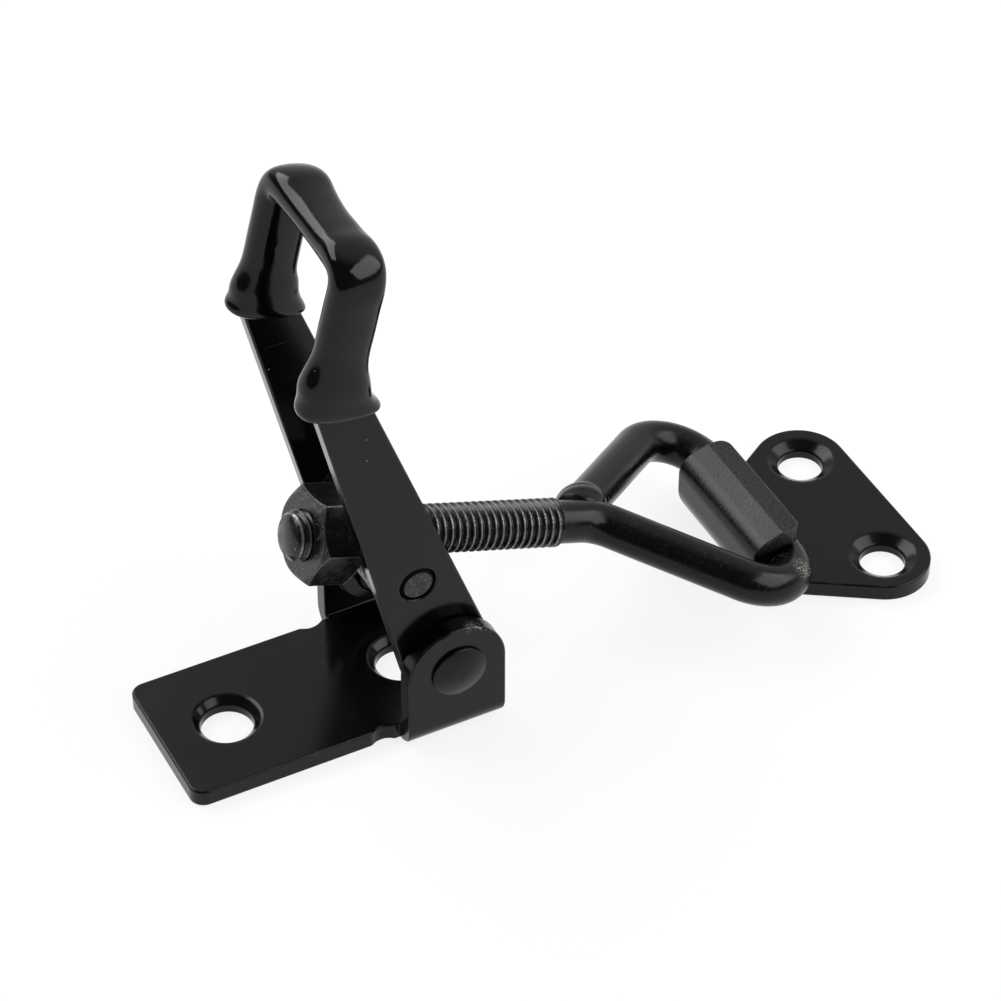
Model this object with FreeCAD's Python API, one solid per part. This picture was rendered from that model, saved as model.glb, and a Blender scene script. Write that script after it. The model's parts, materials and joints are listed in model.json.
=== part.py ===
import FreeCAD, Part
import math
import os

# Adjustable over-centre toggle latch with its catch plate, in millimetres.
# The latch stands open: the handle leans back over its base plate, and the
# loop of the hook bolt lies in the hook of the catch plate on the same floor.
# +X runs from the latch to the catch plate, +Y across it, +Z up.
# The origin is midway between the two screw holes of the base, on its underside.

# Sheet metal
sheet = 2.25                  # painted thickness of base, handle and catch plate
fold_inner_r = 0.45           # inner radius of the folds of the base
edge_break = 0.16             # bevel that punching and paint leave on the edges
least_sharp = 30.0            # degrees that an edge turns at least to be bevelled
cut_past = 1.0                # cutters run this far past a face

# Base bracket
base_hole_spacing = 22.8
base_hole_r = 3.15
base_sink_r = 4.1
sink_depth = 0.95
base_end_margin = 8.4         # from the rear screw hole to the rear edge
base_front_margin = 7.5       # from the front screw hole to the front edge
base_corner_r = 1.8
ear_span = 25.4               # over the outer faces of the two ears
ear_length = 12.6
relief_r = 2.2                # scallop where each fold begins
relief_depth = 0.45
relief_to_ear = 0.05

# Handle pivot
pivot_to_front_hole = 1.35    # the pivot stands this far in front of the front hole
pivot_height = 10.37
rivet_shank_r = 2.5
rivet_head_r = 3.4
rivet_head_height = 1.1
rivet_rim_height = 0.35
rivet_tail_r = 3.7
rivet_tail_height = 1.0
pivot_clearance = 0.06        # radial, between the arm and the rivet
side_clearance = 0.2          # along the pivot, between faces that slide

# Handle
handle_lean = 16.3            # degrees back from upright
grip_lean = 14.2              # degrees forward from upright, above the crank
arm_length = 46.6             # from the pivot to the crank
grip_rise = 16.75             # from the crank to the top of the cross bar
arm_end_r = 5.6
arm_crank_half = 3.45
grip_half_width = 2.35
crank_outer_r = 8.0
crank_inner_r = 5.0
grip_fold_r = 3.6             # outer radius where the strip turns across

# Trunnion
trunnion_reach = 13.63        # from the handle's pivot along its arms
trunnion_r = 4.7
trunnion_pin_r = 2.2
trunnion_clearance = 0.06
trunnion_pin_chamfer = 0.4
nut_seat = 4.6                # flat on the barrel, from its axis

# Hook bolt
thread_r = 2.98
wire_r = 2.61
bolt_tail = 12.1              # end of the thread behind the trunnion
thread_end = 25.4
thread_run_out = 0.8
bend_at = 30.1                # where the wire leaves the bolt's axis
crossbar_at = 53.0
loop_half_width = 20.96       # to the point where leg and cross bar lines meet
loop_corner_r = 5.32
loop_bend_r = 5.92
weld_start = 26.2             # where the line of the welded leg meets the axis
weld_leg_gap = 1.6            # that leg stops this far short of the bolt's axis
weld_bead_at = 2.89           # from the bolt's axis to the middle of the weld bead
weld_bead_half = 1.6
weld_bead_proud = 0.35        # of the wire's surface
weld_bead_sunk = 0.1
bolt_end_chamfer = 0.6
thread_clearance = 0.03

# Nut
nut_across_flats = 10.2
nut_height = 5.6
nut_seat_gap = 0.05           # between the nut and the flat of the trunnion
nut_turn = 20.5               # degrees of its first corner from the bolt's upper side
nut_chamfer = 0.75
nut_chamfer_angle = 30.0      # degrees
nut_land_inset = 0.1

# Grip sleeve
sleeve_wall = 0.85
sleeve_below_crank = 3.05     # the near leg's sleeve reaches this far down the arm
sleeve_skew = 1.15            # the far leg's sleeve ends this much higher
sleeve_flare = 0.55           # extra wall in the lobes at the lower ends
sleeve_lobe_back = 0.15       # the lobes bulge more at the rear
sleeve_waist_rise = 5.0       # from the crank to where the grip leg is even again
sleeve_crank_thinning = 0.1
sleeve_turn = 3.0             # the centre line starts to turn this far from the crank
sleeve_lip = 0.6              # rounding of the lower ends
sleeve_bar_waist = 0.2        # the wall thins towards the middle of the cross bar
sleeve_far_swell = 0.4        # the dip ran together on top of the far corner
sleeve_step = 2.0             # between sections, for an even skin
sleeve_end_slant = 25.0       # degrees, the lower edge stays about level
section_squareness = 2.6      # 2 would be an ellipse
section_points = 16

# Catch plate
keeper_hole_spacing = 19.9
keeper_hole_r = 2.8
keeper_sink_r = 4.2
keeper_lobe_r = 5.9
keeper_hook_half = 9.3
hook_heel_inner_r = 3.25
hook_brow_inner_r = 0.35
hook_wall_over_bar = 2.05     # the wall turns over this far above the cross bar's axis
bar_over_plate = 1.0          # gap between the loop and the catch plate below it
hook_lip_rise = 18.0          # degrees upwards over the loop
hook_lip_first = 2.35         # length to the crease
hook_lip_last = 2.6           # length after the crease
hook_lip_corner_r = 1.5
hook_to_holes = 13.1          # from the cross bar to the line of the holes
hook_contact_gap = 0.3        # between the cross bar and the wall of the hook
keeper_side_shift = -0.9      # the plate lies this far to the near side
keeper_neck_length = 12.0     # from the line of the holes to the straight neck

X = FreeCAD.Vector(1, 0, 0)
Y = FreeCAD.Vector(0, 1, 0)
Z = FreeCAD.Vector(0, 0, 1)
ORIGIN = FreeCAD.Vector(0, 0, 0)

ear_outer = ear_span / 2
ear_inner = ear_outer - sheet
half_width = ear_inner - fold_inner_r
rear_hole_x = -base_hole_spacing / 2
front_hole_x = base_hole_spacing / 2
base_rear_x = rear_hole_x - base_end_margin
base_front_x = front_hole_x + base_front_margin
ear_rear_x = base_front_x - ear_length
pivot = FreeCAD.Vector(front_hole_x + pivot_to_front_hole, 0, pivot_height)

arm_outer = ear_inner - side_clearance
arm_inner = arm_outer - sheet
arm_mid = (arm_outer + arm_inner) / 2


def lean_direction(degrees):
    """Unit vector in the XZ plane that leans from upright towards +X."""
    angle = math.radians(degrees)
    return FreeCAD.Vector(math.sin(angle), 0, math.cos(angle))


def side_direction(along):
    """Unit vector in the XZ plane, a quarter turn from along towards +X."""
    return FreeCAD.Vector(along.z, 0, -along.x)


arm_along = lean_direction(-handle_lean)
arm_side = side_direction(arm_along)
grip_along = lean_direction(grip_lean)
grip_side = side_direction(grip_along)
crank = pivot + arm_along * arm_length
trunnion = pivot + arm_along * trunnion_reach

# The bolt slopes so that its cross bar lies just above the catch plate.
crossbar_height = sheet + bar_over_plate + wire_r
slope = math.asin((trunnion.z - crossbar_height) / crossbar_at)
bolt_along = FreeCAD.Vector(math.cos(slope), 0, -math.sin(slope))
bolt_up = FreeCAD.Vector(math.sin(slope), 0, math.cos(slope))


def on_bolt(along, across=0.0, up=0.0):
    """Point given along, across and above the bolt's axis from the trunnion."""
    return trunnion + bolt_along * along + Y * across + bolt_up * up


def rounded_wire(points, radii):
    """Closed wire through points, with an arc of the given radius at each."""
    edges = []
    count = len(points)
    starts = []
    ends = []
    middles = []
    for i in range(count):
        here = points[i]
        back = (points[i - 1] - here).normalize()
        ahead = (points[(i + 1) % count] - here).normalize()
        radius = radii[i]
        if radius <= 0:
            starts.append(here)
            ends.append(here)
            middles.append(None)
            continue
        half = back.getAngle(ahead) / 2
        reach = radius / math.tan(half)
        centre = here + (back + ahead).normalize() * (radius / math.sin(half))
        starts.append(here + back * reach)
        ends.append(here + ahead * reach)
        middles.append(centre + (here - centre).normalize() * radius)
    for i in range(count):
        if middles[i] is not None:
            edges.append(Part.Arc(starts[i], middles[i], ends[i]).toShape())
        following = starts[(i + 1) % count]
        if (following - ends[i]).Length > 1e-6:
            edges.append(Part.makeLine(ends[i], following))
    return Part.Wire(edges)


def prism(wire, direction):
    """Solid swept straight from a closed flat wire."""
    return Part.Face(wire).extrude(direction)


def cylinder_between(radius, start, end):
    """Round bar between two points."""
    axis = end - start
    return Part.makeCylinder(radius, axis.Length, start, axis)


def countersunk_hole(radius, sink_radius, x, y):
    """Cutter for a screw hole through a sheet that lies on the floor."""
    hole = Part.makeCylinder(radius, sheet + 2 * cut_past, FreeCAD.Vector(x, y, -cut_past), Z)
    rise = sink_radius - radius
    # The cone runs on a little above the face, so that the cut is clean.
    extra = cut_past / 2
    top_radius = sink_radius + rise * extra / sink_depth
    start = FreeCAD.Vector(x, y, sheet - sink_depth)
    cone = Part.makeCone(radius, top_radius, sink_depth + extra, start, Z)
    return hole.fuse(cone)


def break_edges(shape, wanted):
    """Bevel the outward edges whose middle wanted accepts, as paint leaves them."""
    edges = []
    for edge in shape.Edges:
        faces = shape.ancestorsOfType(edge, Part.Face)
        middle = edge.valueAt((edge.FirstParameter + edge.LastParameter) / 2)
        if len(faces) != 2 or not wanted(middle):
            continue
        first, second = [face.normalAt(*face.Surface.parameter(middle)) for face in faces]
        if math.degrees(first.getAngle(second)) < least_sharp:
            continue
        # Across an outward edge, a step along one face's normal leaves the solid.
        beside = middle + (first - second) * edge_break / 10
        if not shape.isInside(beside, 1e-4, True):
            edges.append(edge)
    return shape.makeChamfer(edge_break, edges)


def save(shape, name):
    """Write one piece to its own file."""
    shape.exportStep(os.path.join("parts", name + ".step"))


def make_base_bracket():
    """Plate with two ears folded up at its front end."""
    corners = [
        FreeCAD.Vector(base_rear_x, -half_width, 0),
        FreeCAD.Vector(ear_rear_x, -half_width, 0),
        FreeCAD.Vector(ear_rear_x, half_width, 0),
        FreeCAD.Vector(base_rear_x, half_width, 0),
    ]
    plate = prism(rounded_wire(corners, [base_corner_r, 0, 0, base_corner_r]), Z * sheet)

    fold_outer_r = fold_inner_r + sheet
    ear_top_r = ear_length / 2
    top = pivot_height + ear_top_r + cut_past
    outline = [
        FreeCAD.Vector(ear_rear_x, -ear_outer, top),
        FreeCAD.Vector(ear_rear_x, -ear_outer, 0),
        FreeCAD.Vector(ear_rear_x, ear_outer, 0),
        FreeCAD.Vector(ear_rear_x, ear_outer, top),
        FreeCAD.Vector(ear_rear_x, ear_inner, top),
        FreeCAD.Vector(ear_rear_x, ear_inner, sheet),
        FreeCAD.Vector(ear_rear_x, -ear_inner, sheet),
        FreeCAD.Vector(ear_rear_x, -ear_inner, top),
    ]
    radii = [0, fold_outer_r, fold_outer_r, 0, 0, fold_inner_r, fold_inner_r, 0]
    channel = prism(rounded_wire(outline, radii), X * ear_length)

    # Seen from the side each ear is square below the pivot and round above it.
    ear_middle_x = ear_rear_x + ear_top_r
    beyond = -ear_outer - cut_past
    lower = Part.makeBox(ear_length, -2 * beyond, pivot_height,
                         FreeCAD.Vector(ear_rear_x, beyond, 0))
    crown = Part.makeCylinder(ear_top_r, -2 * beyond,
                              FreeCAD.Vector(ear_middle_x, beyond, pivot_height), Y)
    ears = channel.common(lower.fuse(crown))
    bracket = plate.fuse(ears)

    relief_x = ear_rear_x - relief_r - relief_to_ear
    relief_y = half_width - relief_depth + relief_r
    for side in (-1, 1):
        start = FreeCAD.Vector(relief_x, side * relief_y, -sheet)
        bracket = bracket.cut(Part.makeCylinder(relief_r, 3 * sheet, start, Z))
        bore_start = pivot + Y * (side * (ear_inner - cut_past))
        bore_end = pivot + Y * (side * (ear_outer + cut_past))
        bracket = bracket.cut(cylinder_between(rivet_shank_r, bore_start, bore_end))
    for x in (rear_hole_x, front_hole_x):
        bracket = bracket.cut(countersunk_hole(base_hole_r, base_sink_r, x, 0))
    bracket = bracket.removeSplitter()
    # The short straights between each scallop and its ear stay sharp.
    bracket = break_edges(bracket, lambda middle: middle.x > ear_rear_x - edge_break / 10)
    return break_edges(bracket, lambda middle: middle.x < ear_rear_x - relief_r / 3)


def make_rivet(side):
    """Domed rivet that carries one arm of the handle inside one ear."""
    head_face = ear_outer
    tail_face = arm_inner - side_clearance
    rim = rivet_rim_height
    crown_rise = rivet_head_height - rim
    crown_r = (rivet_head_r ** 2 + crown_rise ** 2) / (2 * crown_rise)
    # Half section in the plane of the axis, turned once round it.
    mid_x = rivet_head_r * 0.55
    mid_y = head_face + rivet_head_height - crown_r + math.sqrt(crown_r ** 2 - mid_x ** 2)
    axis_top = FreeCAD.Vector(0, head_face + rivet_head_height, 0)
    head_edge = FreeCAD.Vector(rivet_head_r, head_face + rim, 0)
    dome = Part.Arc(axis_top, FreeCAD.Vector(mid_x, mid_y, 0), head_edge).toShape()
    tail_end = tail_face - rivet_tail_height
    chamfer = rivet_tail_height * 0.4
    points = [
        head_edge,
        FreeCAD.Vector(rivet_head_r, head_face, 0),
        FreeCAD.Vector(rivet_shank_r, head_face, 0),
        FreeCAD.Vector(rivet_shank_r, tail_face, 0),
        FreeCAD.Vector(rivet_tail_r, tail_face, 0),
        FreeCAD.Vector(rivet_tail_r, tail_end + chamfer, 0),
        FreeCAD.Vector(rivet_tail_r - chamfer, tail_end, 0),
        FreeCAD.Vector(0, tail_end, 0),
        axis_top,
    ]
    edges = [dome]
    for first, second in zip(points[:-1], points[1:]):
        edges.append(Part.makeLine(first, second))
    rivet = Part.Face(Part.Wire(edges)).revolve(ORIGIN, Y, 360)
    if side < 0:
        rivet = rivet.mirror(ORIGIN, Y)
    rivet.translate(pivot)
    return rivet


def arm_outline(y):
    """Side view of one arm: round pivot end, taper, crank and upright grip leg."""
    leg_top = grip_rise - grip_fold_r
    top = crank + grip_along * leg_top
    # The two long edges meet above the crank on the line that halves its turn.
    turn = math.radians(handle_lean + grip_lean) / 2
    halving = (arm_side + grip_side).normalize()
    reach = (arm_crank_half + grip_half_width) / 2 / math.cos(turn)
    # The sides run straight from the round end, where they touch it.
    taper = math.asin((arm_end_r - arm_crank_half) / arm_length)
    front_touch = pivot + arm_side * (arm_end_r * math.cos(taper)) + arm_along * (
        arm_end_r * math.sin(taper))
    rear_touch = pivot - arm_side * (arm_end_r * math.cos(taper)) + arm_along * (
        arm_end_r * math.sin(taper))
    foot = pivot - arm_along * arm_end_r
    front_crank = crank + halving * reach
    rear_crank = crank - halving * reach
    front_top = top + grip_side * grip_half_width
    rear_top = top - grip_side * grip_half_width

    def bend(before, corner, after, radius):
        back = (before - corner).normalize()
        ahead = (after - corner).normalize()
        half = back.getAngle(ahead) / 2
        length = radius / math.tan(half)
        centre = corner + (back + ahead).normalize() * (radius / math.sin(half))
        middle = centre + (corner - centre).normalize() * radius
        return corner + back * length, middle, corner + ahead * length

    lift = Y * y
    front = bend(front_touch, front_crank, front_top, crank_inner_r)
    rear = bend(rear_top, rear_crank, rear_touch, crank_outer_r)
    edges = [
        Part.Arc(rear_touch + lift, foot + lift, front_touch + lift).toShape(),
        Part.makeLine(front_touch + lift, front[0] + lift),
        Part.Arc(front[0] + lift, front[1] + lift, front[2] + lift).toShape(),
        Part.makeLine(front[2] + lift, front_top + lift),
        Part.makeLine(front_top + lift, rear_top + lift),
        Part.makeLine(rear_top + lift, rear[0] + lift),
        Part.Arc(rear[0] + lift, rear[1] + lift, rear[2] + lift).toShape(),
        Part.makeLine(rear[2] + lift, rear_touch + lift),
    ]
    return Part.Wire(edges)


def make_handle():
    """One strip folded into two arms that a cross bar joins at the grip."""
    near = prism(arm_outline(-arm_outer), Y * sheet)
    far = prism(arm_outline(arm_inner), Y * sheet)

    # Cross bar and its two folds, a channel seen along the strip's width.
    leg_top = grip_rise - grip_fold_r
    start = crank + grip_along * (leg_top - 0.5) - grip_side * grip_half_width
    rise = grip_fold_r + 0.5
    inner_rise = rise - sheet
    outline = [
        start - Y * arm_outer,
        start - Y * arm_outer + grip_along * rise,
        start + Y * arm_outer + grip_along * rise,
        start + Y * arm_outer,
        start + Y * arm_inner,
        start + Y * arm_inner + grip_along * inner_rise,
        start - Y * arm_inner + grip_along * inner_rise,
        start - Y * arm_inner,
    ]
    inner_r = grip_fold_r - sheet
    radii = [0, grip_fold_r, grip_fold_r, 0, 0, inner_r, inner_r, 0]
    bridge = prism(rounded_wire(outline, radii), grip_side * (2 * grip_half_width))

    handle = near.fuse(bridge).fuse(far)
    pivot_bore = rivet_shank_r + pivot_clearance
    trunnion_bore = trunnion_pin_r + trunnion_clearance
    for centre, radius in ((pivot, pivot_bore), (trunnion, trunnion_bore)):
        for side in (-1, 1):
            start = centre + Y * (side * arm_mid - sheet)
            handle = handle.cut(Part.makeCylinder(radius, 2 * sheet, start, Y))
    return handle.removeSplitter()


def make_trunnion():
    """Barrel between the arms, with a pin at each end and a bore across it."""
    half_barrel = arm_inner - side_clearance
    pin_end = arm_outer
    chamfer = trunnion_pin_chamfer
    barrel = cylinder_between(trunnion_r, trunnion - Y * half_barrel, trunnion + Y * half_barrel)
    solid = barrel
    for side in (-1, 1):
        shoulder = trunnion + Y * (side * (pin_end - chamfer))
        solid = solid.fuse(cylinder_between(trunnion_pin_r, trunnion, shoulder))
        solid = solid.fuse(Part.makeCone(trunnion_pin_r, trunnion_pin_r - chamfer, chamfer,
                                         shoulder, Y * side))
    bore = cylinder_between(thread_r + thread_clearance, on_bolt(-2 * trunnion_r),
                            on_bolt(2 * trunnion_r))
    solid = solid.cut(bore)
    # The nut bears on a flat that is milled across the barrel.
    corner = on_bolt(-nut_seat - trunnion_r, -half_barrel - cut_past, -trunnion_r - cut_past)
    across = Y * (2 * half_barrel + 2 * cut_past)
    flat = prism(Part.makePolygon([
        corner,
        corner + bolt_along * trunnion_r,
        corner + bolt_along * trunnion_r + across,
        corner + across,
        corner,
    ]), bolt_up * (2 * trunnion_r + 2 * cut_past))
    return solid.cut(flat).removeSplitter()


def make_adjusting_nut():
    """Hexagon nut against the trunnion, chamfered on both faces."""
    corner_r = nut_across_flats / math.sqrt(3)
    front = -nut_seat - nut_seat_gap - nut_height
    corners = []
    for k in range(6):
        angle = math.radians(nut_turn + 60 * k)
        corners.append(on_bolt(front, -corner_r * math.sin(angle), corner_r * math.cos(angle)))
    corners.append(corners[0])
    nut = prism(Part.makePolygon(corners), bolt_along * nut_height)
    # Both faces are turned to a cone that leaves a round land.
    land_r = nut_across_flats / 2 - nut_land_inset
    depth = nut_chamfer
    outer_r = land_r + depth / math.tan(math.radians(nut_chamfer_angle))
    middle = nut_height - 2 * depth
    turned = Part.makeCone(land_r, outer_r, depth, on_bolt(front), bolt_along)
    turned = turned.fuse(Part.makeCylinder(outer_r, middle, on_bolt(front + depth), bolt_along))
    turned = turned.fuse(Part.makeCone(outer_r, land_r, depth, on_bolt(front + depth + middle),
                                       bolt_along))
    nut = nut.common(turned)
    bore = cylinder_between(thread_r + thread_clearance, on_bolt(front - cut_past), on_bolt(0))
    return nut.cut(bore).removeSplitter()


def make_hook_bolt():
    """Wire with a rolled thread, bent to a three-cornered loop and welded shut."""
    tail = on_bolt(-bolt_tail)
    shoulder = on_bolt(-bolt_tail + bolt_end_chamfer)
    thread = cylinder_between(thread_r, shoulder, on_bolt(thread_end))
    thread = thread.fuse(Part.makeCone(thread_r - bolt_end_chamfer, thread_r, bolt_end_chamfer,
                                       tail, bolt_along))
    thread = thread.fuse(Part.makeCone(thread_r, wire_r, thread_run_out, on_bolt(thread_end),
                                       bolt_along))

    near_corner = on_bolt(crossbar_at, -loop_half_width)
    far_corner = on_bolt(crossbar_at, loop_half_width)
    bend = on_bolt(bend_at)
    leg_line = (far_corner - on_bolt(weld_start)).normalize()
    leg_angle = bolt_along.getAngle(leg_line)
    leg_end = on_bolt(weld_start) + leg_line * (weld_leg_gap / math.sin(leg_angle))
    route = [on_bolt(thread_end), bend, near_corner, far_corner, leg_end]
    radii = [loop_bend_r, loop_corner_r, loop_corner_r]
    edges = []
    previous = route[0]
    for i in range(1, len(route) - 1):
        here = route[i]
        back = (route[i - 1] - here).normalize()
        ahead = (route[i + 1] - here).normalize()
        half = back.getAngle(ahead) / 2
        reach = radii[i - 1] / math.tan(half)
        centre = here + (back + ahead).normalize() * (radii[i - 1] / math.sin(half))
        middle = centre + (here - centre).normalize() * radii[i - 1]
        edges.append(Part.makeLine(previous, here + back * reach))
        edges.append(Part.Arc(here + back * reach, middle, here + ahead * reach).toShape())
        previous = here + ahead * reach
    edges.append(Part.makeLine(previous, route[-1]))
    path = Part.Wire(edges)
    profile = Part.Wire([Part.makeCircle(wire_r, route[0], bolt_along)])
    loop = path.makePipeShell([profile], True, False)

    # A barrel-shaped bead runs round the end of the leg that is welded to the bolt.
    bead_centre = on_bolt(weld_start) + leg_line * (weld_bead_at / math.sin(leg_angle))
    bead_start = bead_centre - leg_line * weld_bead_half
    bead_low_r = wire_r - weld_bead_sunk
    bead_high_r = wire_r + weld_bead_proud
    bead = Part.makeCone(bead_low_r, bead_high_r, weld_bead_half, bead_start, leg_line)
    bead = bead.fuse(Part.makeCone(bead_high_r, bead_low_r, weld_bead_half, bead_centre, leg_line))
    return thread.fuse(loop).fuse(bead).removeSplitter()


def section_wire(centre, wide, thick, half_wide, half_thick):
    """Closed smooth section: a rounded oblong between an ellipse and a box."""
    points = []
    for k in range(section_points):
        angle = 2 * math.pi * (k + 0.5) / section_points
        c = math.cos(angle)
        s = math.sin(angle)
        across = math.copysign(abs(c) ** (2 / section_squareness), c) * half_wide
        through = math.copysign(abs(s) ** (2 / section_squareness), s) * half_thick
        points.append(centre + wide * across + thick * through)
    curve = Part.BSplineCurve()
    curve.interpolate(points, PeriodicFlag=True)
    return Part.Wire([curve.toShape()])


def ease(t):
    """Smooth step from 0 to 1."""
    t = min(1.0, max(0.0, t))
    return t * t * (3 - 2 * t)


def sleeve_leg(end, across, outward):
    """Sections of one leg of the sleeve, from its lower end to the fold."""
    half_thick = sheet / 2 + sleeve_wall
    taper = (arm_end_r - arm_crank_half) / arm_length
    top_half = grip_half_width + sleeve_wall
    crank_half = arm_crank_half + sleeve_wall - sleeve_crank_thinning
    end_half = arm_end_r - taper * end + sleeve_wall + sleeve_flare
    lower = arm_length - end
    leg_top = grip_rise - grip_fold_r
    start = crank - arm_along * sleeve_turn
    finish = crank + grip_along * sleeve_turn
    steps = round((lower + leg_top) / sleeve_step)
    places = [-lower, -lower + sleeve_lip]
    for k in range(1, steps):
        places.append(-lower + (lower + leg_top) * k / steps)
    wires = []
    for place in places:
        # The centre line turns the crank on a parabola between its two straights.
        t = (place + sleeve_turn) / (2 * sleeve_turn)
        if t < 0:
            centre = crank + arm_along * place
            along = arm_along
        elif t > 1:
            centre = crank + grip_along * place
            along = grip_along
        else:
            centre = start * (1 - t) ** 2 + crank * (2 * t * (1 - t)) + finish * t ** 2
            along = (arm_along * (1 - t) + grip_along * t).normalize()
        # Width and wall run from the lobe through the crank to the grip.
        narrowing = ease(place / sleeve_waist_rise)
        lobe = 1 - ease((place + lower) / lower)
        half_wide = crank_half + (top_half - crank_half) * narrowing + (end_half - crank_half) * lobe
        thick = half_thick + sleeve_flare * (1 - narrowing)
        slant = math.radians(sleeve_end_slant) * (1 - ease((place + lower) / (2 * lower)))
        wide = side_direction(along) * math.cos(slant) - along * math.sin(slant)
        centre = centre - arm_side * (sleeve_lobe_back * (1 - narrowing))
        if place == places[0]:
            half_wide -= sleeve_lip
            thick -= sleeve_lip / 2
        wires.append(section_wire(centre + Y * across, wide, outward, half_wide, thick))
    return wires


def make_grip_sleeve():
    """Dipped sleeve: one skin over both grip legs and the cross bar."""
    half_thick = sheet / 2 + sleeve_wall
    top_half = grip_half_width + sleeve_wall
    mid_r = grip_fold_r - sheet / 2
    turn_height = grip_rise - grip_fold_r
    near_end = arm_length - sleeve_below_crank
    wires = sleeve_leg(near_end, -arm_mid, Y)
    # A quarter turn, the cross bar and another quarter turn, on the strip's middle.
    bar_half = arm_mid - mid_r
    for degrees in (0, 45):
        angle = math.radians(degrees)
        centre = (crank + grip_along * (turn_height + mid_r * math.sin(angle))
                  - Y * (bar_half + mid_r * math.cos(angle)))
        through = Y * math.cos(angle) - grip_along * math.sin(angle)
        wires.append(section_wire(centre, grip_side, through, top_half, half_thick))
    bar_centre = crank + grip_along * (grip_rise - sheet / 2)
    steps = 2 * round(bar_half / sleeve_step)
    for k in range(steps + 1):
        share = 2 * k / steps - 1
        waist = sleeve_bar_waist * (1 - share * share)
        swell = sleeve_far_swell / 2 * ease(share)
        centre = bar_centre + Y * (bar_half * share) + (grip_along + grip_side) * swell
        wires.append(section_wire(centre, grip_side, -grip_along,
                                  top_half - waist + swell, half_thick - waist + swell))
    for degrees in (45, 0):
        angle = math.radians(degrees)
        centre = (crank + grip_along * (turn_height + mid_r * math.sin(angle))
                  + Y * (bar_half + mid_r * math.cos(angle)))
        through = -Y * math.cos(angle) - grip_along * math.sin(angle)
        swell = sleeve_far_swell / 2 * math.sin(angle)
        wires.append(section_wire(centre + (grip_side - through) * swell, grip_side, through,
                                  top_half + swell, half_thick + swell))
    far_leg = sleeve_leg(near_end + sleeve_skew, arm_mid, -Y)
    far_leg.reverse()
    wires.extend(far_leg)
    return Part.makeLoft(wires, True, False)


def keeper_outline():
    """Plan of the catch plate: two round lobes that narrow to the hook."""
    holes_x = crossbar.x + hook_to_holes
    lobe_y = keeper_hole_spacing / 2
    neck_x = holes_x - keeper_neck_length
    hook_x = crossbar.x - wire_r
    near = FreeCAD.Vector(holes_x, keeper_side_shift - lobe_y, 0)
    far = FreeCAD.Vector(holes_x, keeper_side_shift + lobe_y, 0)

    # The slanted edge leaves the neck's corner and touches the lobe.
    def touch_point(centre, corner, side):
        gap = corner - centre
        spread = math.acos(keeper_lobe_r / gap.Length)
        base_angle = math.atan2(gap.y, gap.x)
        angle = base_angle - side * spread
        return centre + FreeCAD.Vector(math.cos(angle), math.sin(angle), 0) * keeper_lobe_r

    near_neck = FreeCAD.Vector(neck_x, keeper_side_shift - keeper_hook_half, 0)
    far_neck = FreeCAD.Vector(neck_x, keeper_side_shift + keeper_hook_half, 0)
    near_touch = touch_point(near, near_neck, -1)
    far_touch = touch_point(far, far_neck, 1)
    right = X * keeper_lobe_r
    diagonal = (X - Y).normalize() * keeper_lobe_r
    far_diagonal = (X + Y).normalize() * keeper_lobe_r
    rear_near = FreeCAD.Vector(hook_x, near_neck.y, 0)
    rear_far = FreeCAD.Vector(hook_x, far_neck.y, 0)
    edges = [
        Part.makeLine(rear_near, near_neck),
        Part.makeLine(near_neck, near_touch),
        Part.Arc(near_touch, near + diagonal, near + right).toShape(),
        Part.makeLine(near + right, far + right),
        Part.Arc(far + right, far + far_diagonal, far_touch).toShape(),
        Part.makeLine(far_touch, far_neck),
        Part.makeLine(far_neck, rear_far),
        Part.makeLine(rear_far, rear_near),
    ]
    return Part.Wire(edges), near, far


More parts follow.
